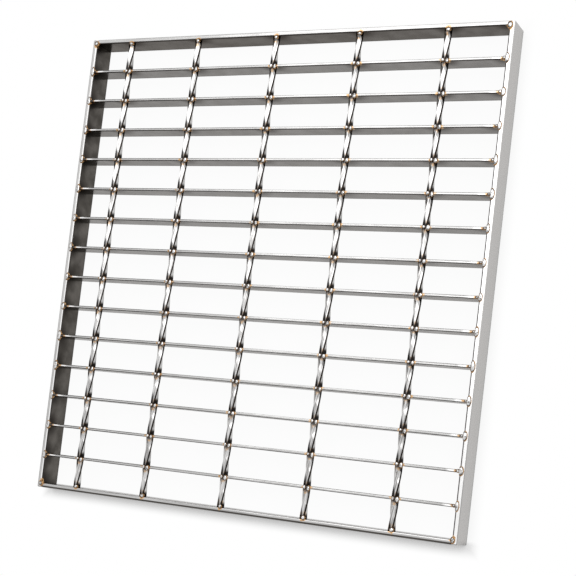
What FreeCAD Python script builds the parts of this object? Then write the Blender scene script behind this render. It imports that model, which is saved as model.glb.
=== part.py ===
import FreeCAD, Part

# Welded steel drain grate: flat bearing bars on edge, crossed by twisted square rods and
# framed by flat bars. It lies flat on its frame, walking face up.
# Millimetres. X runs along the bearing bars, Y along the twisted rods, Z up.
# The origin is at the middle of the underside.

import math
import os

# Frame of flat bar standing on edge
PANEL_WIDTH = 515.0
FRAME_DEPTH = 30.0
SIDE_BAR_THICKNESS = 6.0
END_BAR_THICKNESS = 5.0

# Bearing bars, level with the top of the frame
BAR_COUNT = 14
BAR_PITCH = 35.0
BAR_DEPTH = 25.0
BAR_THICKNESS = 3.0

# Twisted square rods, set into the top edges of the bearing bars
ROD_SIDE = 6.0
ROD_PROUD = 0.5
FIRST_ROD_INSET = 53.0
FIRST_ROD_GAP = 90.0
ROD_PITCH = 100.0
LEAST_ROD_INSET = 25.0

# Degrees that a rod's corner leans to the right on each bearing bar, and turns to the next bar
LEAN_ON_BAR = 26.0
TWIST_PER_PITCH = 90.0
SECTIONS_PER_PITCH = 4

# Places that follow from the sizes above
CLEAR_GAP = BAR_PITCH - BAR_THICKNESS
INNER_LENGTH = BAR_COUNT * BAR_PITCH + CLEAR_GAP
PANEL_LENGTH = INNER_LENGTH + 2 * END_BAR_THICKNESS
INNER_WIDTH = PANEL_WIDTH - 2 * SIDE_BAR_THICKNESS
TOP = FRAME_DEPTH
LEFT = -PANEL_WIDTH / 2
FRONT = -PANEL_LENGTH / 2
INNER_LEFT = LEFT + SIDE_BAR_THICKNESS
INNER_FRONT = FRONT + END_BAR_THICKNESS
FIRST_BAR_Y = INNER_FRONT + CLEAR_GAP + BAR_THICKNESS / 2
CORNER_UP_Y = FIRST_BAR_Y - BAR_PITCH * LEAN_ON_BAR / TWIST_PER_PITCH
ROD_CORNER = ROD_SIDE / math.sqrt(2)
ROD_AXIS_Z = TOP + ROD_PROUD - ROD_CORNER


def rod_places():
    """X of each rod's axis: the first two stand closer, the rest at an even pitch."""
    last = -LEFT - LEAST_ROD_INSET
    places = [LEFT + FIRST_ROD_INSET]
    step = FIRST_ROD_GAP
    while places[-1] + step <= last:
        places.append(places[-1] + step)
        step = ROD_PITCH
    return places


def flat_bar(length_x, length_y, depth, x, y):
    """A flat bar on edge, its top level with the walking face, from its low corner."""
    corner = FreeCAD.Vector(x, y, TOP - depth)
    return Part.makeBox(length_x, length_y, depth, corner)


def bearing_bar(index):
    """One bearing bar, butted between the side bars."""
    y = FIRST_BAR_Y + index * BAR_PITCH - BAR_THICKNESS / 2
    return flat_bar(INNER_WIDTH, BAR_THICKNESS, BAR_DEPTH, INNER_LEFT, y)


def rod_section(x, y):
    """The rod's square at a place along it, turned as far as the twist has come there."""
    turn = TWIST_PER_PITCH * (y - CORNER_UP_Y) / BAR_PITCH
    axis = FreeCAD.Vector(x, y, ROD_AXIS_Z)
    corners = []
    for corner in range(4):
        angle = math.radians(turn + 90.0 * corner)
        corners.append(axis + FreeCAD.Vector(math.sin(angle), 0, math.cos(angle)) * ROD_CORNER)
    return Part.makePolygon(corners + corners[:1])


def twisted_rod(x):
    """One square rod with a right-hand twist, butted between the end bars."""
    end = INNER_FRONT + INNER_LENGTH
    step = BAR_PITCH / SECTIONS_PER_PITCH
    first = math.floor((INNER_FRONT - CORNER_UP_Y) / step) + 1
    last = math.ceil((end - CORNER_UP_Y) / step) - 1
    between = [CORNER_UP_Y + index * step for index in range(first, last + 1)]
    sections = [rod_section(x, y) for y in [INNER_FRONT] + between + [end]]
    return Part.makeLoft(sections, True, True)


def grating_mat():
    """All bearing bars and rods, welded into one piece where they cross."""
    bars = [bearing_bar(index) for index in range(BAR_COUNT)]
    rods = [twisted_rod(x) for x in rod_places()]
    return bars[0].multiFuse(bars[1:] + rods)


def side_bar(x):
    """One frame bar along the rods, over the panel's whole length."""
    return flat_bar(SIDE_BAR_THICKNESS, PANEL_LENGTH, FRAME_DEPTH, x, FRONT)


def end_bar(y):
    """One frame bar along the bearing bars, between the side bars."""
    return flat_bar(INNER_WIDTH, END_BAR_THICKNESS, FRAME_DEPTH, INNER_LEFT, y)


NODES = {
    "side_bar_left": side_bar(LEFT),
    "side_bar_right": side_bar(INNER_LEFT + INNER_WIDTH),
    "end_bar_front": end_bar(FRONT),
    "end_bar_back": end_bar(INNER_FRONT + INNER_LENGTH),
    "grating_mat": grating_mat(),
}

os.makedirs("parts", exist_ok=True)
for name, shape in NODES.items():
    shape.exportStep("parts/" + name + ".step")
    print(name, len(shape.Solids), "solids, valid", shape.isValid(), round(shape.Volume, 1), "mm3")
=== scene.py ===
"""Dresses the welded drain grate: rounded flat bars, twisted rods, weld beads and bare steel.

Metres, in the frame of the solids: X along the bearing bars, Y along the twisted rods, Z up.
"""

import logging
import math
import random
from dataclasses import dataclass
from enum import Enum
from typing import Any, ClassVar

import bmesh
import bpy
from mathutils import Matrix, Vector


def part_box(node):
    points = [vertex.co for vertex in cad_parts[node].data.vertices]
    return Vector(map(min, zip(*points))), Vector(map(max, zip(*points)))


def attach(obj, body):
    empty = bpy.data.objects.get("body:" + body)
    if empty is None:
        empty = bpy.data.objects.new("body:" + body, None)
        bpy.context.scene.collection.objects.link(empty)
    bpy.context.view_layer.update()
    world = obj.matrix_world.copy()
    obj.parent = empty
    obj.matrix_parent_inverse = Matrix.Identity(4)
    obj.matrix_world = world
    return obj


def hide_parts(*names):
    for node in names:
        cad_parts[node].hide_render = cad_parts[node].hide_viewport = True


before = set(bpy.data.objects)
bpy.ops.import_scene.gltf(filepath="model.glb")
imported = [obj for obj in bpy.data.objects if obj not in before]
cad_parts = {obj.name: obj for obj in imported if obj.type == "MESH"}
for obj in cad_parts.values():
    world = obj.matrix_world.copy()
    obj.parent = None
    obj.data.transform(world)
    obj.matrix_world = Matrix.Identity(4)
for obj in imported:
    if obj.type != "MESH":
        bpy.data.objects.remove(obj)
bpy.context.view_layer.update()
BODY = "root"
QUARTER = math.pi / 2
LOG = logging.getLogger("drain_grate")

Colour = tuple[float, float, float]
Range = tuple[float, float]
Noise = tuple[float, float]  # scale and detail
Bump = tuple[float, float]  # strength and depth
Wire = bpy.types.NodeSocket
Shape = bmesh.types.BMesh

WHITE: Colour = (1.0, 1.0, 1.0)
NOISE_RANGE: Range = (0.3, 0.7)


class Along(Enum):
    """The way a flat bar runs, and how many times a metre its brushed grain changes along X, Y and Z."""

    WIDTH = (60.0, 2600.0, 2600.0)
    LENGTH = (2600.0, 60.0, 2600.0)


class Socket(Enum):
    """The kinds of socket that the shared effects have."""

    VALUE = "NodeSocketFloat"
    COLOUR = "NodeSocketColor"
    VECTOR = "NodeSocketVector"


class PaintedFaceShades(Enum):
    """A bar's rolled faces by where it stands, darkened by side as painted shade: pale, dark and glancing
    look.
    """

    # Painted shade: faces inside the frame are darkened, the left bar's most and the front bar's least.
    LEFT = ((0.115, 0.106, 0.096), (0.052, 0.047, 0.041), (0.90, 0.89, 0.88))
    RIGHT = ((0.150, 0.141, 0.133), (0.095, 0.088, 0.082), (0.90, 0.89, 0.88))
    FRONT = ((0.45, 0.44, 0.43), (0.36, 0.35, 0.34), (0.70, 0.69, 0.68))
    BACK = ((0.190, 0.180, 0.170), (0.140, 0.131, 0.123), (0.50, 0.49, 0.48))
    BEARING = ((0.300, 0.292, 0.285), (0.240, 0.232, 0.225), (0.60, 0.59, 0.58))


@dataclass(frozen=True)
class GrateLayout:
    """Where the bars and rods stand; the frame's own sizes are read from the solids."""

    bar_count: int = 14
    bar_pitch: float = 0.035
    bar_thickness: float = 0.003
    bar_depth: float = 0.025
    rod_count: int = 5
    first_rod_inset: float = 0.053
    first_rod_gap: float = 0.090
    rod_pitch: float = 0.100
    rod_side: float = 0.0060
    lean_on_bar: float = math.radians(26.0)
    weld_offset: float = 0.0012
    end_weld_inset: float = 0.0014

    @property
    def top(self) -> float:
        """Height of the walking face."""
        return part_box("side_bar_left")[1].z

    @property
    def underside(self) -> float:
        """Height of the frame's lower edges."""
        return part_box("side_bar_left")[0].z

    @property
    def bar_underside(self) -> float:
        """Height of the bearing bars' lower edges."""
        return self.top - self.bar_depth

    @property
    def rod_axis(self) -> float:
        """Height of the rods' axes: their corners stand a little proud of the bars."""
        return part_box("grating_mat")[1].z - self.rod_side / math.sqrt(2)

    @property
    def inner_x(self) -> float:
        """Half the clear width between the side bars."""
        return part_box("side_bar_right")[0].x

    @property
    def inner_y(self) -> float:
        """Half the clear length between the end bars."""
        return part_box("end_bar_back")[0].y

    @property
    def outer_x(self) -> float:
        """Half the whole width."""
        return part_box("side_bar_right")[1].x

    @property
    def outer_y(self) -> float:
        """Half the whole length."""
        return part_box("end_bar_back")[1].y

    @property
    def first_bar(self) -> float:
        """Y of the first bearing bar's middle."""
        return -(self.bar_count - 1) * self.bar_pitch / 2

    def bar_places(self) -> list[float]:
        """Y of each bearing bar's middle."""
        return [self.first_bar + index * self.bar_pitch for index in range(self.bar_count)]

    def rod_places(self) -> list[float]:
        """X of each rod's axis: the first two stand closer than the rest.

        Returns:
            The places, from the left to the right.
        """
        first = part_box("side_bar_left")[0].x + self.first_rod_inset
        second = first + self.first_rod_gap
        return [first] + [second + index * self.rod_pitch for index in range(self.rod_count - 1)]


class Graph:
    """Adds nodes to one node tree and wires them up."""

    def __init__(self, tree: bpy.types.NodeTree) -> None:
        """Takes the tree to work on."""
        self.tree = tree

    def feed(self, socket: Wire, value: Any) -> None:
        """Links a socket to another, or sets its value.

        Args:
            socket: The input to feed.
            value: An output socket, or a number, colour or vector.
        """
        if isinstance(value, Wire):
            self.tree.links.new(value, socket)
        elif socket.type == "RGBA" and len(value) == 3:
            socket.default_value = (*value, 1.0)
        else:
            socket.default_value = value

    def add(self, kind: str, settings: dict[str, Any] | None = None,
            inputs: dict[Any, Any] | None = None) -> bpy.types.Node:
        """Adds a node.

        Args:
            kind: The node's type, without the word ShaderNode in front.
            settings: Its properties by name.
            inputs: What feeds its inputs, by name or number.

        Returns:
            The new node.
        """
        node = self.tree.nodes.new("ShaderNode" + kind)
        for name, value in (settings or {}).items():
            setattr(node, name, value)
        for key, value in (inputs or {}).items():
            self.feed(node.inputs[key], value)
        return node

    def math(self, operation: str, *values: Any) -> Wire:
        """The result of an operation, in Blender's word, on numbers or sockets."""
        return self.add("Math", {"operation": operation}, dict(enumerate(values))).outputs[0]

    def spread(self, value: Any, low: float, high: float, start: Any = 0.0, end: Any = 1.0) -> Wire:
        """Maps a value smoothly from low and high onto start and end, and holds it beyond them."""
        settings = {"interpolation_type": "SMOOTHSTEP"}
        return self.add("MapRange", settings, dict(enumerate((value, low, high, start, end)))).outputs[0]

    def blend(self, share: Any, first: Any, second: Any) -> Wire:
        """A colour between two others.

        Args:
            share: How much of the second colour there is.
            first: The colour at 0.
            second: The colour at 1.

        Returns:
            The blended colour's socket.
        """
        node = self.add("Mix", {"data_type": "RGBA"})
        self.feed(node.inputs["Factor"], share)
        for name, colour in (("A_Color", first), ("B_Color", second)):
            socket = next(entry for entry in node.inputs if entry.identifier == name)
            self.feed(socket, colour)
        return next(entry for entry in node.outputs if entry.identifier == "Result_Color")

    def noise(self, place: Wire, scale: float, detail: float) -> Wire:
        """A cloudy pattern of about 0.3 to 0.7, by how often it changes and its finer layers."""
        return self.add("TexNoise", None, {"Vector": place, "Scale": scale, "Detail": detail}).outputs["Fac"]

    def place(self) -> Wire:
        """The piece's own coordinates, in metres."""
        return self.add("TexCoord").outputs["Object"]

    def attribute(self, name: str) -> Wire:
        """A value that the piece's own points carry."""
        return self.add("Attribute", {"attribute_name": name}).outputs["Fac"]

    def effect(self, group: bpy.types.NodeTree, inputs: dict[str, Any]) -> bpy.types.Node:
        """Places a shared effect's node group, with what feeds its inputs by name."""
        return self.add("Group", {"node_tree": group}, inputs)

    def parts(self, vector: Wire) -> Any:
        """The X, Y and Z of a vector."""
        return self.add("SeparateXYZ", None, {0: vector}).outputs

    def scaled(self, vector: Wire, scale: Any) -> Wire:
        """A vector multiplied by another, part by part."""
        return self.add("VectorMath", {"operation": "MULTIPLY"}, {0: vector, 1: scale}).outputs[0]

    def bump(self, height: Wire, strength: float, depth: float) -> Wire:
        """A normal that a height makes uneven."""
        inputs = {"Strength": strength, "Distance": depth, "Height": height}
        return self.add("Bump", None, inputs).outputs["Normal"]

    def seen(self) -> Wire:
        """Whether a ray comes from the camera, from a reflection or through something clear.

        Returns:
            1 where it does and 0 elsewhere.
        """
        rays = self.add("LightPath").outputs
        direct = self.math("MAXIMUM", rays["Is Camera Ray"], rays["Is Glossy Ray"])
        return self.math("MAXIMUM", direct, rays["Is Transmission Ray"])


@dataclass(frozen=True)
class SharedEffects:
    """The effects that several finishes use, as node groups that are built once."""

    weld_distance: bpy.types.NodeTree
    heat_tint: bpy.types.NodeTree
    brushed_grain: bpy.types.NodeTree
    tint_patches: ClassVar[Noise] = (420.0, 1.0)
    tint_unevenness: ClassVar[float] = 0.16
    tint_stops: ClassVar[tuple[tuple[float, Colour], ...]] = (
        (0.40, (0.03, 0.027, 0.025)),
        (0.52, (0.09, 0.055, 0.032)),
        (0.62, (0.46, 0.26, 0.11)),
        (0.85, (0.62, 0.40, 0.20)),
    )
    tint_fade: ClassVar[Range] = (0.82, 1.00)
    tint_cover: ClassVar[float] = 0.92
    grain_layers: ClassVar[tuple[Noise, Noise]] = ((1.0, 3.0), (0.3, 1.0))
    grain_range: ClassVar[Range] = (0.36, 0.64)

    @classmethod
    def make(cls, layout: GrateLayout) -> "SharedEffects":
        """Builds the groups for the places where the bars and rods stand."""
        return cls(cls._weld_distance(layout), cls._heat_tint(), cls._brushed_grain())

    @staticmethod
    def _group(name: str, inputs: dict[str, Socket], outputs: dict[str, Socket]) -> tuple[Graph, Any, Any]:
        """Starts a node group.

        Args:
            name: What it is called.
            inputs: Its inputs' names and kinds.
            outputs: Its outputs' names and kinds.

        Returns:
            Its graph, its input node and its output node.
        """
        tree = bpy.data.node_groups.new(name, "ShaderNodeTree")
        for label, kind in inputs.items():
            tree.interface.new_socket(name=label, in_out="INPUT", socket_type=kind.value)
        for label, kind in outputs.items():
            tree.interface.new_socket(name=label, in_out="OUTPUT", socket_type=kind.value)
        return Graph(tree), tree.nodes.new("NodeGroupInput"), tree.nodes.new("NodeGroupOutput")

    @classmethod
    def _weld_distance(cls, layout: GrateLayout) -> bpy.types.NodeTree:
        """How far a point is from the nearest weld, wherever a bar, rod or frame bar meets another.

        Args:
            layout: Where the bars and rods stand.

        Returns:
            A group from a position to a distance in metres.
        """
        graph, entry, leave = cls._group("weld distance", {"Position": Socket.VECTOR},
                                         {"Distance": Socket.VALUE})
        x, y, z = graph.parts(entry.outputs["Position"])
        width_out = graph.math("ABSOLUTE", x)
        across = graph.math("ABSOLUTE", graph.math("SUBTRACT", width_out, layout.inner_x))
        for rod in layout.rod_places():
            to_rod = graph.math("ABSOLUTE", graph.math("SUBTRACT", x, rod + layout.weld_offset))
            across = graph.math("MINIMUM", across, to_rod)
        from_first = graph.math("SUBTRACT", y, layout.first_bar)
        length_out = graph.math("ABSOLUTE", y)
        along = graph.math("MAXIMUM", graph.math("PINGPONG", from_first, layout.bar_pitch / 2),
                           graph.math("ADD", length_out, layout.first_bar))
        end_weld = layout.inner_y - layout.end_weld_inset
        to_end = graph.math("ABSOLUTE", graph.math("SUBTRACT", length_out, end_weld))
        along = graph.math("MINIMUM", along, to_end)
        down = graph.math("SUBTRACT", z, layout.top)
        offset = graph.add("CombineXYZ", None, {0: across, 1: along, 2: down}).outputs[0]
        length = graph.add("VectorMath", {"operation": "LENGTH"}, {0: offset}).outputs["Value"]
        graph.feed(leave.inputs["Distance"], length)
        return graph.tree

    @classmethod
    def _heat_tint(cls) -> bpy.types.NodeTree:
        """The colours that a weld's heat leaves: dark scale beside the bead, then brown, tan and straw.

        Returns:
            A group from a distance to a colour and a mask.
        """
        graph, entry, leave = cls._group(
            "heat tint", {"Position": Socket.VECTOR, "Distance": Socket.VALUE, "Reach": Socket.VALUE},
            {"Colour": Socket.COLOUR, "Mask": Socket.VALUE})
        patchy = graph.noise(entry.outputs["Position"], *cls.tint_patches)
        shift = graph.spread(patchy, *NOISE_RANGE, -cls.tint_unevenness, cls.tint_unevenness)
        share = graph.math("DIVIDE", entry.outputs["Distance"], entry.outputs["Reach"])
        uneven = graph.math("ADD", share, shift)
        ramp = graph.add("ValToRGB", None, {"Fac": uneven})
        stops = ramp.color_ramp.elements
        stops.remove(stops[1])
        stops[0].position = cls.tint_stops[0][0]
        for index, (position, colour) in enumerate(cls.tint_stops):
            stop = stops[0] if index == 0 else stops.new(position)
            stop.color = (*colour, 1.0)
        graph.feed(leave.inputs["Colour"], ramp.outputs["Color"])
        graph.feed(leave.inputs["Mask"], graph.spread(uneven, *cls.tint_fade, cls.tint_cover, 0.0))
        return graph.tree

    @classmethod
    def _brushed_grain(cls) -> bpy.types.NodeTree:
        """Fine streaks along a bar, with broader ones among them.

        Returns:
            A group from a position and the streaks' scale to a shade from 0 to 1.
        """
        graph, entry, leave = cls._group(
            "brushed grain", {"Position": Socket.VECTOR, "Scale": Socket.VECTOR}, {"Shade": Socket.VALUE})
        drawn = graph.scaled(entry.outputs["Position"], entry.outputs["Scale"])
        layers = [graph.noise(drawn, *setting) for setting in cls.grain_layers]
        halves = [graph.math("MULTIPLY", layer, 0.5) for layer in layers]
        graph.feed(leave.inputs["Shade"], graph.spread(graph.math("ADD", *halves), *cls.grain_range))
        return graph.tree


@dataclass(frozen=True)
class Finish:
    """A surface of the grate, as a node material."""

    name: str
    effects: SharedEffects
    layout: GrateLayout

    def start(self) -> tuple[bpy.types.Material, Graph, Any]:
        """Makes an empty steel material.

        Returns:
            The material, its graph and the inputs of its shader.
        """
        material = bpy.data.materials.new(self.name)
        material.use_nodes = True
        graph = Graph(material.node_tree)
        inputs = material.node_tree.nodes["Principled BSDF"].inputs
        graph.feed(inputs["Metallic"], 1.0)
        return material, graph, inputs

    def tint(self, graph: Graph, place: Wire, base: Any, reach: float, strength: Any = 1.0) -> Wire:
        """Lays the welds' heat tint over a colour.

        Args:
            graph: The material's graph.
            place: The piece's own coordinates.
            base: The colour of the clean steel.
            reach: How far from a weld's middle the tint ends.
            strength: How much of the tint there is.

        Returns:
            The tinted colour's socket.
        """
        near = graph.effect(self.effects.weld_distance, {"Position": place}).outputs["Distance"]
        heat = graph.effect(self.effects.heat_tint, {"Position": place, "Distance": near, "Reach": reach})
        share = graph.math("MULTIPLY", heat.outputs["Mask"], strength)
        return graph.blend(share, base, heat.outputs["Colour"])


@dataclass(frozen=True)
class PaintedEdgeStrip:
    """A strip of a bar's top edge in a colour of its own: painted highlight where pale, painted shade where
    dark.

    It is full at one distance from the grate's middle and gone at another, along X (axis 0) or Y (axis 1).
    """

    colour: Colour
    axis: int
    full_at: float
    gone_at: float


@dataclass(frozen=True)
class FlatBarFinish(Finish):
    """Bare flat bar: its top edge ground bright, its faces cloudy and painted darker as shade, most along
    their borders.
    """

    along: Along
    underside: float
    face_pale: Colour
    face_dark: Colour
    glancing: Colour
    shades: tuple[PaintedEdgeStrip, ...] = ()
    edge_bright: Colour = (0.60, 0.595, 0.59)
    edge_dull: Colour = (0.40, 0.395, 0.39)
    outer_pale: Colour = (0.46, 0.453, 0.445)
    outer_foot_shade: Colour = (0.15, 0.145, 0.14)
    border_shade_colour: Colour = (0.045, 0.040, 0.036)
    scorch_colour: Colour = (0.030, 0.024, 0.020)
    edge_roughness: float = 0.26
    face_roughness: float = 0.20
    grain_roughness: Range = (0.05, -0.04)
    grain_bump: Bump = (0.12, 0.0002)
    ground_depth: float = 0.00012
    highlight_behind: float = 0.0011
    facing_back: Range = (0.05, 0.25)
    rolled_clouds: Noise = (55.0, 5.0)
    scorch_and_shade_start: float = 0.004
    scorch_and_shade_reach: float = 0.021
    scorch_and_shade_cover: float = 0.88
    upper_shade_start: float = 0.0008
    lower_shade_start: float = 0.0012
    border_shade_width: float = 0.0030
    border_shade_cover: float = 0.85
    outer_skin: Range = (0.0009, 0.0004)
    outer_foot_shade_reach: Range = (0.0008, 0.0024)
    outer_rim: float = 0.0
    outer_rim_reach: Range = (0.0012, 0.0020)
    tint_reach: float = 0.0065

    def make(self) -> bpy.types.Material:
        """Builds the material.

        Returns:
            The material.
        """
        material, graph, inputs = self.start()
        graph.feed(inputs["Specular Tint"], self.glancing)
        place = graph.place()
        grain = graph.effect(self.effects.brushed_grain,
                             {"Position": place, "Scale": self.along.value}).outputs["Shade"]
        # The mask is the ground top edge plus a painted highlight on the rounding that faces back.
        ground = self._ground_and_highlight(graph, place)
        steel = graph.blend(ground, self._face(graph, place), self._edge(graph, place, grain))
        graph.feed(inputs["Base Color"], self.tint(graph, place, steel, self.tint_reach))
        rough = graph.spread(ground, 0.0, 1.0, self.face_roughness, self.edge_roughness)
        streaks = graph.spread(grain, 0.0, 1.0, *self.grain_roughness)
        graph.feed(inputs["Roughness"], graph.math("ADD", rough, streaks))
        graph.feed(inputs["Normal"], graph.bump(grain, *self.grain_bump))
        return material

    def _ground_and_highlight(self, graph: Graph, place: Wire) -> Wire:
        """Where the bar is ground bright on its top edge, with a painted highlight further round it behind.

        Args:
            graph: The material's graph.
            place: The piece's own coordinates.

        Returns:
            A mask.
        """
        top = self.layout.top
        height = graph.parts(place)[2]
        facing = graph.parts(graph.add("NewGeometry").outputs["Normal"])
        # Painted highlight: the rounding that faces back, towards the lamps, is coloured as if ground
        # bright.
        behind = graph.spread(facing[1], *self.facing_back)
        round_it = graph.spread(height, top - self.highlight_behind, top - self.highlight_behind / 2)
        on_top = graph.spread(height, top - self.ground_depth, top)
        return graph.math("MAXIMUM", on_top, graph.math("MULTIPLY", behind, round_it))

    def _edge(self, graph: Graph, place: Wire, grain: Wire) -> Wire:
        """The ground top edge: streaky, with its painted highlight and painted shade strips.

        Args:
            graph: The material's graph.
            place: The piece's own coordinates.
            grain: The streaks.

        Returns:
            The edge's colour.
        """
        edge = graph.blend(grain, self.edge_dull, self.edge_bright)
        parts = graph.parts(place)
        for shade in self.shades:
            out = graph.math("ABSOLUTE", parts[shade.axis])
            strip = graph.spread(out, shade.full_at, shade.gone_at, 1.0, 0.0)
            edge = graph.blend(strip, edge, shade.colour)
        return edge

    def _face(self, graph: Graph, place: Wire) -> Wire:
        """The rolled faces: paler outside the frame, with painted shade along their borders and near the
        welds, which also stands for scorching.

        Args:
            graph: The material's graph.
            place: The piece's own coordinates.

        Returns:
            The faces' colour.
        """
        rolled = graph.spread(graph.noise(place, *self.rolled_clouds), *NOISE_RANGE)
        face = graph.blend(rolled, self.face_dark, self.face_pale)
        near = graph.effect(self.effects.weld_distance, {"Position": place}).outputs["Distance"]
        # Painted shade where the bars meet, darkest near each joint; it also stands for scorching by the
        # welds.
        scorch = graph.spread(near, self.scorch_and_shade_start, self.scorch_and_shade_reach, self.scorch_and_shade_cover, 0.0)
        face = graph.blend(scorch, face, self.scorch_colour)
        height = graph.parts(place)[2]
        below = graph.math("SUBTRACT", self.layout.top, height)
        above = graph.math("SUBTRACT", height, self.underside)
        # Painted shade along the faces' upper and lower edges, under the top edge and towards the floor.
        upper = graph.spread(below, self.upper_shade_start, self.border_shade_width, self.border_shade_cover, 0.0)
        lower = graph.spread(above, self.lower_shade_start, self.border_shade_width, self.border_shade_cover, 0.0)
        face = graph.blend(graph.math("MAXIMUM", upper, lower), face, self.border_shade_colour)
        # Painted shade at the foot of the outer faces, where they meet the floor.
        foot_shade = graph.spread(above, *self.outer_foot_shade_reach, 1.0, 0.0)
        outer = graph.blend(foot_shade, self.outer_pale, self.outer_foot_shade)
        # Painted shade: a dark strip along the top of the outer face, used on the front bar.
        rim = graph.spread(below, *self.outer_rim_reach, self.outer_rim, 0.0)
        outer = graph.blend(rim, outer, self.border_shade_colour)
        return graph.blend(self._outside(graph, place), face, outer)

    def _outside(self, graph: Graph, place: Wire) -> Wire:
        """Where a face is on the outside of the frame.

        Args:
            graph: The material's graph.
            place: The piece's own coordinates.

        Returns:
            A mask.
        """
        masks = []
        for part, outer in zip(graph.parts(place), (self.layout.outer_x, self.layout.outer_y)):
            out = graph.math("ABSOLUTE", part)
            masks.append(graph.spread(out, *(outer - depth for depth in self.outer_skin)))
        return graph.math("MAXIMUM", *masks)


@dataclass(frozen=True)
class BarFinishes:
    """The finish of each flat bar, with the painted highlight and shade strips along its top edge."""

    effects: SharedEffects
    layout: GrateLayout
    highlight_pale: Colour = (0.92, 0.915, 0.91)
    highlight_dull: Colour = (0.76, 0.755, 0.75)
    inside_shade_colour: Colour = (0.07, 0.065, 0.06)
    outside_shade_colour: Colour = (0.06, 0.054, 0.048)
    # Near-black painted shade on the left bar's inner face where the bearing bars meet it.
    left_scorch_and_shade: Colour = (0.012, 0.009, 0.007)
    left_highlight_reach: Range = (0.0018, 0.0028)
    right_shade_reach: Range = (0.0011, 0.0019)
    front_shade_reach: Range = (0.0016, 0.0025)
    bar_end_highlight_reach: Range = (0.010, 0.016)
    side_tint: float = 0.0040
    end_tint: float = 0.0042
    front_rim_shade: float = 0.9

    def frame_bars(self) -> dict[str, FlatBarFinish]:
        """The finishes of the frame.

        Returns:
            A finish for the name of each solid.
        """
        inner = self.layout.inner_x
        outer = self.layout.outer_y
        # Painted highlight along the left bar's inner edge; painted shade along the right bar's inner edge
        # and the front bar's outer edge.
        left = PaintedEdgeStrip(self.highlight_pale, 0, *(inner + out for out in self.left_highlight_reach))
        right = PaintedEdgeStrip(self.inside_shade_colour, 0, *(inner + out for out in self.right_shade_reach))
        front = PaintedEdgeStrip(self.outside_shade_colour, 1, *(outer - depth for depth in self.front_shade_reach))
        return {
            "side_bar_left": self._frame_bar(
                "left side bar steel", Along.LENGTH, PaintedFaceShades.LEFT, shades=(left,),
                tint_reach=self.side_tint, scorch_colour=self.left_scorch_and_shade),
            # The right bar's whole top edge is painted pale as a highlight.
            "side_bar_right": self._frame_bar(
                "right side bar steel", Along.LENGTH, PaintedFaceShades.RIGHT, shades=(right,),
                tint_reach=self.side_tint, edge_bright=self.highlight_pale, edge_dull=self.highlight_dull),
            "end_bar_front": self._frame_bar(
                "front end bar steel", Along.WIDTH, PaintedFaceShades.FRONT, shades=(front,),
                tint_reach=self.end_tint, outer_rim=self.front_rim_shade),
            "end_bar_back": self._frame_bar(
                "back end bar steel", Along.WIDTH, PaintedFaceShades.BACK, tint_reach=self.end_tint),
        }

    def bearing_bars(self) -> FlatBarFinish:
        """The finish of the bearing bars, with a painted highlight near their ends.

        Returns:
            The finish.
        """
        inner = self.layout.inner_x
        # Painted highlight on the bearing bars' top edge near their ends.
        ends = PaintedEdgeStrip(self.highlight_pale, 0, *(inner - depth for depth in self.bar_end_highlight_reach))
        return FlatBarFinish("bearing bar steel", self.effects, self.layout, Along.WIDTH,
                             self.layout.bar_underside, *PaintedFaceShades.BEARING.value, shades=(ends,))

    def _frame_bar(self, name: str, along: Along, faces: PaintedFaceShades, **looks: Any) -> FlatBarFinish:
        """The finish of one bar of the frame, with what sets it apart."""
        return FlatBarFinish(name, self.effects, self.layout, along, self.layout.underside, *faces.value,
                             **looks)


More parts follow.
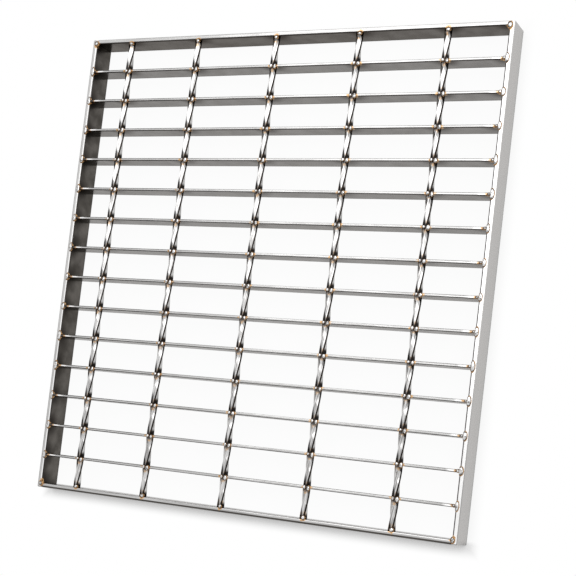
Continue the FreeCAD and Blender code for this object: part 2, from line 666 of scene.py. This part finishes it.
@dataclass(frozen=True)
class TwistedRodFinish(Finish):
    """Drawn rod: streaky bright flats with painted shade by their lean, darker to the left, and a painted
    dark line along their right.

    A flat's lean is to the right, in radians. The way across it is from -1 at its left to 1 at its right.
    """

    flat_bright: Colour = (0.70, 0.695, 0.69)
    flat_dull: Colour = (0.26, 0.255, 0.25)
    flank_shade: Colour = (0.014, 0.012, 0.011)
    line_shade: Colour = (0.014, 0.011, 0.009)
    glancing: Colour = (0.75, 0.74, 0.73)
    streak_scale: tuple[float, float, float] = (4.0, 45.0, 30.0)
    streak_noise: Noise = (1.0, 2.0)
    streak_range: Range = (0.36, 0.60)
    streak_roughness: Range = (0.21, 0.09)
    streak_bump: Bump = (0.08, 0.0002)
    sweep: float = 0.45
    lit_left: Range = (-0.60, -0.38)
    shade_left: Range = (-0.26, 0.12)
    shade_band_start: Range = (1.20, 1.28)
    shade_band_end: Range = (1.45, 1.65)
    shade_under: Range = (1.90, 2.30)
    shade_line_on_flat: Range = (0.28, 0.55)
    shade_line_start: Range = (-0.45, -0.28)
    shade_line_end: Range = (1.25, 1.45)
    tint_reach: float = 0.0068
    tint_strength: float = 0.75
    tint_sides: Range = (0.0, 0.45)

    def make(self) -> bpy.types.Material:
        """Builds the material.

        Returns:
            The material.
        """
        material, graph, inputs = self.start()
        graph.feed(inputs["Specular Tint"], self.glancing)
        place = graph.place()
        lean = graph.attribute("lean")
        across = graph.attribute("across")
        streaks = self._streaks(graph, place, across)
        flat = graph.blend(streaks, self.flat_dull, self.flat_bright)
        off_middle = graph.math("ABSOLUTE", across)
        tinted = graph.spread(off_middle, *self.tint_sides, 0.0, self.tint_strength)
        flat = self.tint(graph, place, flat, self.tint_reach, tinted)
        # Painted light and shade on the flats by their lean, in place of real shade and reflections.
        steel = graph.blend(self._painted_light(graph, lean, across), self.flank_shade, flat)
        # Painted shade: a dark line along each flat's right.
        within = self._between(graph, lean, self.shade_line_start, self.shade_line_end)
        line = graph.math("MULTIPLY", graph.spread(across, *self.shade_line_on_flat), within)
        graph.feed(inputs["Base Color"], graph.blend(line, steel, self.line_shade))
        graph.feed(inputs["Roughness"], graph.spread(streaks, 0.0, 1.0, *self.streak_roughness))
        graph.feed(inputs["Normal"], graph.bump(streaks, *self.streak_bump))
        return material

    def _streaks(self, graph: Graph, place: Wire, across: Wire) -> Wire:
        """Streaks that run along each flat and turn with it.

        Args:
            graph: The material's graph.
            place: The piece's own coordinates.
            across: The way across the flat.

        Returns:
            A shade from 0 to 1.
        """
        x, y, _ = graph.parts(place)
        on_flat = graph.add("CombineXYZ", None, {0: across, 1: y, 2: x}).outputs[0]
        drawn = graph.scaled(on_flat, self.streak_scale)
        return graph.spread(graph.noise(drawn, *self.streak_noise), *self.streak_range)

    def _painted_light(self, graph: Graph, lean: Wire, across: Wire) -> Wire:
        """Painted light and shade on a flat by its lean: dark a little to the left, in a band at the right
        and below.

        Args:
            graph: The material's graph.
            lean: How far the flat leans to the right, in radians.
            across: The way across the flat.

        Returns:
            A mask, 1 where the flat is bright.
        """
        swept = graph.math("MULTIPLY_ADD", across, self.sweep, lean)
        band = self._between(graph, lean, self.shade_band_start, self.shade_band_end)
        left = graph.math("MAXIMUM", graph.spread(swept, *self.shade_left),
                          graph.spread(lean, *self.lit_left, 1.0, 0.0))
        lit = graph.math("MULTIPLY", left, graph.math("SUBTRACT", 1.0, band))
        return graph.math("MULTIPLY", lit, graph.spread(lean, *self.shade_under, 1.0, 0.0))

    @staticmethod
    def _between(graph: Graph, lean: Wire, start: Range, end: Range) -> Wire:
        """A mask of the leans between two ranges, which rises over the first and falls over the second."""
        return graph.math("MULTIPLY", graph.spread(lean, *start), graph.spread(lean, *end, 1.0, 0.0))


@dataclass(frozen=True)
class WeldBeadFinish(Finish):
    """A weld bead: silver on its crown, dark scale round it, also painted as shade on its lower side, and a
    tan rim at its toe.
    """

    crown_bright: Colour = (0.66, 0.655, 0.65)
    crown_dull: Colour = (0.20, 0.195, 0.19)
    scale_and_shade_colour: Colour = (0.035, 0.030, 0.026)
    rim_colour: Colour = (0.46, 0.27, 0.12)
    patches: Noise = (700.0, 2.0)
    unevenness: float = 0.12
    scale_start: Range = (0.20, 0.30)
    crown_start: Range = (0.36, 0.60)
    mottling: Noise = (650.0, 1.0)
    mottle_range: Range = (0.36, 0.50)
    smoothing: Range = (0.1, 0.7)
    toe_roughness: float = 0.42
    crown_roughness: float = 0.16
    ripples: Noise = (1500.0, 1.0)
    ripple_bump: Bump = (0.15, 0.0003)

    def make(self) -> bpy.types.Material:
        """Builds the material.

        Returns:
            The material.
        """
        material, graph, inputs = self.start()
        place = graph.place()
        patchy = graph.noise(place, *self.patches)
        shift = graph.spread(patchy, *NOISE_RANGE, -self.unevenness, self.unevenness)
        height = graph.math("ADD", graph.attribute("crown"), shift)
        # The bead's lower side is painted dark as shade together with its scale; the tan rim is heat tint.
        skirt = graph.blend(graph.spread(height, *self.scale_start), self.rim_colour, self.scale_and_shade_colour)
        mottled = graph.spread(graph.noise(place, *self.mottling), *self.mottle_range)
        crown = graph.blend(mottled, self.crown_dull, self.crown_bright)
        bead = graph.blend(graph.spread(height, *self.crown_start), skirt, crown)
        graph.feed(inputs["Base Color"], bead)
        rough = graph.spread(height, *self.smoothing, self.toe_roughness, self.crown_roughness)
        graph.feed(inputs["Roughness"], rough)
        ripple = graph.noise(place, *self.ripples)
        graph.feed(inputs["Normal"], graph.bump(ripple, *self.ripple_bump))
        return material


@dataclass
class SubAssembly:
    """Pieces of the grate that are made and dressed together."""

    layout: GrateLayout
    material: bpy.types.Material
    edge_segments: ClassVar[int] = 3
    round_profile: ClassVar[float] = 0.5

    def piece(self, name: str, bm: Shape, *nodes: str) -> bpy.types.Object:
        """Turns a finished bmesh into a piece that rides on the grate.

        Args:
            name: The piece's name.
            bm: Its shape, which is used up.
            nodes: The solids that it stands for.

        Returns:
            The piece.
        """
        bmesh.ops.recalc_face_normals(bm, faces=bm.faces[:])
        mesh = bpy.data.meshes.new(name)
        bm.to_mesh(mesh)
        bm.free()
        mesh.materials.append(self.material)
        made = bpy.data.objects.new(name, mesh)
        bpy.context.scene.collection.objects.link(made)
        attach(made, BODY)
        if nodes:
            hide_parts(*nodes)
        LOG.info("%s has %d faces", name, len(mesh.polygons))
        return made

    def flat_bar(self, low: Vector, high: Vector, rounding: float, square_ends: bool = False) -> Shape:
        """A flat bar with rounded edges.

        Args:
            low: Its lowest corner.
            high: Its highest corner.
            rounding: The radius of its edges.
            square_ends: Whether its ends stay sharp, as where they butt against another bar.

        Returns:
            Its shape.
        """
        bm = bmesh.new()
        size = high - low
        matrix = Matrix.Translation((low + high) / 2) @ Matrix.Diagonal((*size, 1.0))
        bmesh.ops.create_cube(bm, size=1.0, matrix=matrix)
        edges = [edge for edge in bm.edges if not square_ends or edge.calc_length() > max(size) / 2]
        rounded = bmesh.ops.bevel(bm, geom=edges, offset=rounding, offset_type="OFFSET",
                                  segments=self.edge_segments, profile=self.round_profile,
                                  affect="EDGES", material=-1, clamp_overlap=True)
        for face in rounded["faces"]:
            face.smooth = True
        return bm


@dataclass
class FrameBar(SubAssembly):
    """One flat bar of the frame, in place of its solid."""

    node: str
    rounding: float = 0.0012

    def build(self) -> bpy.types.Object:
        """Makes the bar."""
        shape = self.flat_bar(*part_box(self.node), self.rounding)
        return self.piece(self.node + "_dressed", shape, self.node)


@dataclass
class BearingBars(SubAssembly):
    """The flat bars on edge that carry the load, level with the top of the frame."""

    rounding: float = 0.0009

    def build(self) -> list[bpy.types.Object]:
        """Makes every bar.

        Returns:
            The bars, from the front to the back.
        """
        layout = self.layout
        half = layout.bar_thickness / 2
        made = []
        for number, middle in enumerate(layout.bar_places(), start=1):
            low = Vector((-layout.inner_x, middle - half, layout.bar_underside))
            high = Vector((layout.inner_x, middle + half, layout.top))
            shape = self.flat_bar(low, high, self.rounding, square_ends=True)
            made.append(self.piece(f"bearing_bar_{number:02d}", shape, "grating_mat"))
        return made


@dataclass
class TwistedRods(SubAssembly):
    """Square rods with a right-hand twist: a quarter turn from each bar to the next."""

    rounding: float = 0.0004
    corner_share: float = 0.6
    steps_per_pitch: int = 10
    flat_tolerance: float = 0.1

    def build(self) -> list[bpy.types.Object]:
        """Makes every rod."""
        return [self.piece(f"twisted_rod_{number}", self._twisted(x), "grating_mat")
                for number, x in enumerate(self.layout.rod_places(), start=1)]

    def _section(self, x: float) -> Shape:
        """The rod's rounded square at its front end.

        Args:
            x: Where the rod's axis is.

        Returns:
            A ring of edges.
        """
        layout = self.layout
        bm = bmesh.new()
        axis = Matrix.Translation((x, -layout.inner_y, layout.rod_axis))
        upright = Matrix.Rotation(self._turn(-layout.inner_y), 4, "Y") @ Matrix.Rotation(QUARTER, 4, "X")
        bmesh.ops.create_circle(bm, cap_ends=True, segments=4, radius=layout.rod_side / math.sqrt(2),
                                matrix=axis @ upright)
        bmesh.ops.subdivide_edges(bm, edges=bm.edges[:], cuts=1)
        corner_from = layout.rod_side * self.corner_share
        corners = [vert for vert in bm.verts if (vert.co - axis.translation).length > corner_from]
        bmesh.ops.bevel(bm, geom=corners, offset=self.rounding, offset_type="OFFSET",
                        segments=self.edge_segments, profile=self.round_profile,
                        affect="VERTICES", material=-1, clamp_overlap=True)
        bmesh.ops.delete(bm, geom=bm.faces[:], context="FACES_ONLY")
        return bm

    def _twisted(self, x: float) -> Shape:
        """Twists the section along the rod and closes both ends.

        Args:
            x: Where the rod's axis is.

        Returns:
            The rod's shape.
        """
        layout = self.layout
        bm = self._section(x)
        length = 2 * layout.inner_y
        quarters = length / layout.bar_pitch
        steps = round(quarters * self.steps_per_pitch)
        bmesh.ops.spin(bm, geom=bm.verts[:] + bm.edges[:], cent=(x, 0.0, layout.rod_axis),
                       axis=(0.0, 1.0, 0.0), dvec=(0.0, length / steps, 0.0), angle=quarters * QUARTER,
                       steps=steps, use_duplicate=False)
        for face in bm.faces:
            face.smooth = True
        open_ends = [edge for edge in bm.edges if edge.is_boundary]
        bmesh.ops.holes_fill(bm, edges=open_ends, sides=0)
        bmesh.ops.recalc_face_normals(bm, faces=bm.faces[:])
        bm.normal_update()
        self._mark(bm, x)
        return bm

    def _turn(self, y: float) -> float:
        """How far the twist has turned a corner to the right at a place along the rod."""
        return self.layout.lean_on_bar + QUARTER * (y - self.layout.first_bar) / self.layout.bar_pitch

    def _mark(self, bm: Shape, x: float) -> None:
        """Marks each flat's lean to the right, and the way across it from its left (-1) to its right (1).

        A rounded corner counts as the right end of the flat at its left.

        Args:
            bm: The rod's shape.
            x: Where the rod's axis is.
        """
        lean = bm.loops.layers.float.new("lean")
        across = bm.loops.layers.float.new("across")
        axis_height = self.layout.rod_axis
        for face in bm.faces:
            turn = self._turn(face.calc_center_median().y)
            quarters = (math.atan2(face.normal.x, face.normal.z) - turn) / QUARTER
            on_flat = abs(quarters % 1.0 - 0.5) < self.flat_tolerance
            after = math.floor(quarters) if on_flat else round(quarters) - 1
            own = (turn + (after + 0.5) * QUARTER + math.pi) % math.tau - math.pi
            for loop in face.loops:
                spot = loop.vert.co
                turn_here = self._turn(spot.y)
                round_axis = math.atan2(spot.x - x, spot.z - axis_height)
                from_middle = (round_axis - turn_here) % QUARTER - QUARTER / 2
                loop[lean] = own + turn_here - turn
                loop[across] = math.tan(from_middle) if on_flat else 1.0


@dataclass(frozen=True)
class Bead:
    """One weld bead: a ball that reaches so far along X, Y and Z.

    Its shine is how far the bright crown spreads, its wall how far from the grate's middle it is cut flat.
    """

    middle: Vector
    reach: Vector
    shine: float = 1.0
    wall: float = 0.0


@dataclass
class WeldBeads(SubAssembly):
    """The beads at the crossings, bar ends, rod ends and corners, as four joined pieces."""

    around: int = 12
    rings: int = 8
    unevenness: float = 0.18
    seed: int = 7
    left_of_rod: float = 0.0024
    left_reach: Vector = Vector((0.0019, 0.0020, 0.0013))
    right_of_rod: float = 0.0025
    right_forward: float = 0.0008
    right_reach: Vector = Vector((0.0021, 0.0029, 0.0014))
    bar_end_outward: float = 0.0014
    bar_end_overlap: float = 0.0003
    bar_end_reach: Vector = Vector((0.0029, 0.0056, 0.0013))
    on_bar_inward: float = 0.0016
    on_bar_reach: Vector = Vector((0.0022, 0.0018, 0.0011))
    on_bar_shine: float = 0.6
    rod_end_sunk: float = 0.0006
    rod_end_reach: Vector = Vector((0.0028, 0.0023, 0.0016))
    rod_end_shine: float = 0.8
    corner_outward: tuple[float, float] = (0.0009, 0.0004)
    corner_reach: Vector = Vector((0.0034, 0.0039, 0.0019))
    corner_shine: float = 0.65

    def build(self) -> list[bpy.types.Object]:
        """Makes every group of beads.

        Returns:
            A piece for each group.
        """
        groups = {
            "crossing_welds": self._crossings(),
            "bar_end_welds": self._bar_ends(),
            "rod_end_welds": self._rod_ends(),
            "corner_welds": self._corners(),
        }
        return [self.piece(name, self._joined(beads)) for name, beads in groups.items()]

    def _crossings(self) -> list[Bead]:
        """A smaller bead at the left of each rod's corner and a larger one at its right, on every bar.

        Returns:
            The beads, rod by rod.
        """
        top = self.layout.top
        beads = []
        for x in self.layout.rod_places():
            middle = x + self.layout.weld_offset
            for y in self.layout.bar_places():
                left = Vector((middle - self.left_of_rod, y, top))
                right = Vector((middle + self.right_of_rod, y - self.right_forward, top))
                beads += [Bead(left, self.left_reach), Bead(right, self.right_reach)]
        return beads

    def _bar_ends(self) -> list[Bead]:
        """Ovals at the bars' ends, cut flat at their inner side, and a bead beside each one at the right.

        Returns:
            The ovals, then the beads on the bars.
        """
        top = self.layout.top
        out = self.layout.inner_x + self.bar_end_outward
        wall = self.layout.inner_x - self.bar_end_overlap
        on_bar = self.layout.inner_x - self.on_bar_inward
        ovals = [Bead(Vector((side * out, y, top)), self.bar_end_reach, wall=wall)
                 for side in (-1, 1) for y in self.layout.bar_places()]
        beside = [Bead(Vector((on_bar, y, top)), self.on_bar_reach, self.on_bar_shine)
                  for y in self.layout.bar_places()]
        return ovals + beside

    def _rod_ends(self) -> list[Bead]:
        """A round bead over the joint at each end of every rod.

        Returns:
            The beads, front ones first.
        """
        out = self.layout.inner_y - self.layout.end_weld_inset
        height = self.layout.top - self.rod_end_sunk
        return [Bead(Vector((x + self.layout.weld_offset, end * out, height)), self.rod_end_reach,
                     self.rod_end_shine)
                for end in (-1, 1) for x in self.layout.rod_places()]

    def _corners(self) -> list[Bead]:
        """A ball over the joint at each corner of the frame.

        Returns:
            The beads, left ones first.
        """
        x = self.layout.inner_x + self.corner_outward[0]
        y = self.layout.inner_y + self.corner_outward[1]
        return [Bead(Vector((side * x, end * y, self.layout.top)), self.corner_reach, self.corner_shine)
                for side in (-1, 1) for end in (-1, 1)]

    def _joined(self, beads: list[Bead]) -> Shape:
        """Makes the beads in one mesh, each a little different, with their crowns marked.

        Args:
            beads: What to make.

        Returns:
            The joined shape.
        """
        chance = random.Random(self.seed)
        bm = bmesh.new()
        crown = bm.verts.layers.float.new("crown")
        for bead in beads:
            swell = Vector(1.0 + chance.uniform(-self.unevenness, self.unevenness) for _ in range(3))
            reach = bead.reach * swell
            turned = Matrix.Rotation(chance.uniform(0.0, math.tau), 4, "Z")
            matrix = Matrix.Translation(bead.middle) @ Matrix.Diagonal((*reach, 1.0)) @ turned
            made = bmesh.ops.create_uvsphere(bm, u_segments=self.around, v_segments=self.rings, radius=1.0,
                                             matrix=matrix)
            for vert in made["verts"]:
                height = max(0.0, (vert.co.z - bead.middle.z) / reach.z)
                vert[crown] = bead.shine * height ** 2
                if abs(vert.co.x) < bead.wall:
                    vert.co.x = math.copysign(bead.wall, vert.co.x)
        for face in bm.faces:
            face.smooth = True
        return bm


@dataclass(frozen=True)
class FloorFinish:
    """A pale floor that looks white to the camera and in the steel; painted light fills its shadow under and
    beside the grate, and in front it keeps the shadow.
    """

    layout: GrateLayout
    colour: Colour = (0.90, 0.90, 0.90)
    painted_light_under: float = 0.95
    lift_front: float = 0.22
    painted_light_beside: float = 0.80
    shadow_reach: float = 0.016

    def make(self) -> bpy.types.Material:
        """Builds the material.

        Returns:
            The material.
        """
        material = bpy.data.materials.new("pale floor")
        material.use_nodes = True
        nodes = material.node_tree.nodes
        nodes.remove(nodes["Principled BSDF"])
        graph = Graph(material.node_tree)
        diffuse = graph.add("BsdfDiffuse", None, {"Color": self.colour})
        white = graph.add("Emission", None, {"Color": WHITE, "Strength": 1.0})
        lifted = graph.math("MULTIPLY", graph.seen(), self._lift(graph))
        mixed = graph.add("MixShader", None, {0: lifted, 1: diffuse.outputs[0], 2: white.outputs[0]})
        graph.feed(nodes["Material Output"].inputs["Surface"], mixed.outputs[0])
        return material

    def _lift(self, graph: Graph) -> Wire:
        """How white the floor looks: most away from the grate, least in front, where its shadow falls; under
        and beside the grate it is painted light over the shadow.

        Args:
            graph: The material's graph.

        Returns:
            The lift's socket.
        """
        layout = self.layout
        x, y, _ = graph.parts(graph.place())
        out_x = graph.math("SUBTRACT", graph.math("ABSOLUTE", x), layout.outer_x)
        out_y = graph.math("SUBTRACT", graph.math("ABSOLUTE", y), layout.outer_y)
        out = graph.math("MAXIMUM", out_x, out_y)
        # Painted light: the floor under and beside the grate is lifted over its shadow; in front the shadow
        # stays.
        in_front = graph.spread(y, -layout.outer_y, -layout.inner_y, self.lift_front, self.painted_light_beside)
        beside = graph.spread(out, 0.0, self.shadow_reach, in_front, 1.0)
        under = graph.spread(out, layout.inner_x - layout.outer_x, 0.0, self.painted_light_under, 0.0)
        outside = graph.math("GREATER_THAN", out, 0.0)
        return graph.math("MAXIMUM", under, graph.math("MULTIPLY", beside, outside))


@dataclass(frozen=True)
class SoftLamp:
    """A square area lamp that points at the grate."""

    name: str
    place: Vector
    size: float
    power: float


@dataclass
class Studio:
    """The floor, the light and the camera."""

    layout: GrateLayout
    floor_size: float = 12.0
    fill: float = 0.50
    lamps: tuple[SoftLamp, ...] = (
        SoftLamp("key lamp", Vector((0.0, 1.1, 1.7)), 2.2, 22.0),
        SoftLamp("rim lamp", Vector((1.5, 0.5, 1.5)), 1.4, 9.0),
    )
    camera_place: Vector = Vector((0.6554, -0.2048, 1.2536))
    camera_target: Vector = Vector((0.0538, -0.1414, 0.0300))
    picture_up: Vector = Vector((-0.1303, 0.9915, 0.0))
    focal_length: float = 80.14
    sensor: float = 36.0
    shift_up: float = 0.20

    def build(self) -> None:
        """Sets up the whole studio."""
        self._floor()
        self._world()
        for lamp in self.lamps:
            self._lamp(lamp)
        self._camera()
        bpy.context.scene.view_settings.view_transform = "Standard"

    def _floor(self) -> None:
        """Lays the floor under the grate."""
        bm = bmesh.new()
        bmesh.ops.create_grid(bm, x_segments=1, y_segments=1, size=self.floor_size / 2)
        mesh = bpy.data.meshes.new("floor")
        bm.to_mesh(mesh)
        bm.free()
        mesh.materials.append(FloorFinish(self.layout).make())
        floor = bpy.data.objects.new("floor", mesh)
        bpy.context.scene.collection.objects.link(floor)

    def _world(self) -> None:
        """White all round to the eye and in the steel, with a weaker fill on what is matt."""
        world = bpy.data.worlds.new("studio")
        bpy.context.scene.world = world
        world.use_nodes = True
        graph = Graph(world.node_tree)
        background = world.node_tree.nodes["Background"]
        graph.feed(background.inputs["Color"], WHITE)
        graph.feed(background.inputs["Strength"], graph.spread(graph.seen(), 0.0, 1.0, self.fill, 1.0))

    def _lamp(self, lamp: SoftLamp) -> None:
        """Hangs one lamp.

        Args:
            lamp: Where it hangs, and how large and strong it is.
        """
        light = bpy.data.lights.new(lamp.name, "AREA")
        light.size = lamp.size
        light.energy = lamp.power
        made = bpy.data.objects.new(lamp.name, light)
        made.location = lamp.place
        made.rotation_mode = "QUATERNION"
        made.rotation_quaternion = (-lamp.place).to_track_quat("-Z", "Y")
        bpy.context.scene.collection.objects.link(made)

    def _camera(self) -> None:
        """Stands the camera above the grate, at its right."""
        camera = bpy.data.cameras.new("camera")
        camera.sensor_width = self.sensor
        camera.lens = self.focal_length
        camera.shift_y = self.shift_up
        made = bpy.data.objects.new("camera", camera)
        forward = (self.camera_target - self.camera_place).normalized()
        right = forward.cross(self.picture_up).normalized()
        up = right.cross(forward)
        turned = Matrix((right, up, -forward)).transposed()
        made.matrix_world = Matrix.Translation(self.camera_place) @ turned.to_4x4()
        bpy.context.scene.collection.objects.link(made)
        bpy.context.scene.camera = made


def main() -> None:
    """Builds the grate's pieces in order, then the studio round them."""
    logging.basicConfig(level=logging.INFO, format="%(name)s: %(message)s")
    layout = GrateLayout()
    effects = SharedEffects.make(layout)
    bars = BarFinishes(effects, layout)
    for node, finish in bars.frame_bars().items():
        FrameBar(layout, finish.make(), node).build()
    BearingBars(layout, bars.bearing_bars().make()).build()
    TwistedRods(layout, TwistedRodFinish("bright twisted rod", effects, layout).make()).build()
    WeldBeads(layout, WeldBeadFinish("weld bead", effects, layout).make()).build()
    Studio(layout).build()


if __name__ == "__main__":
    main()
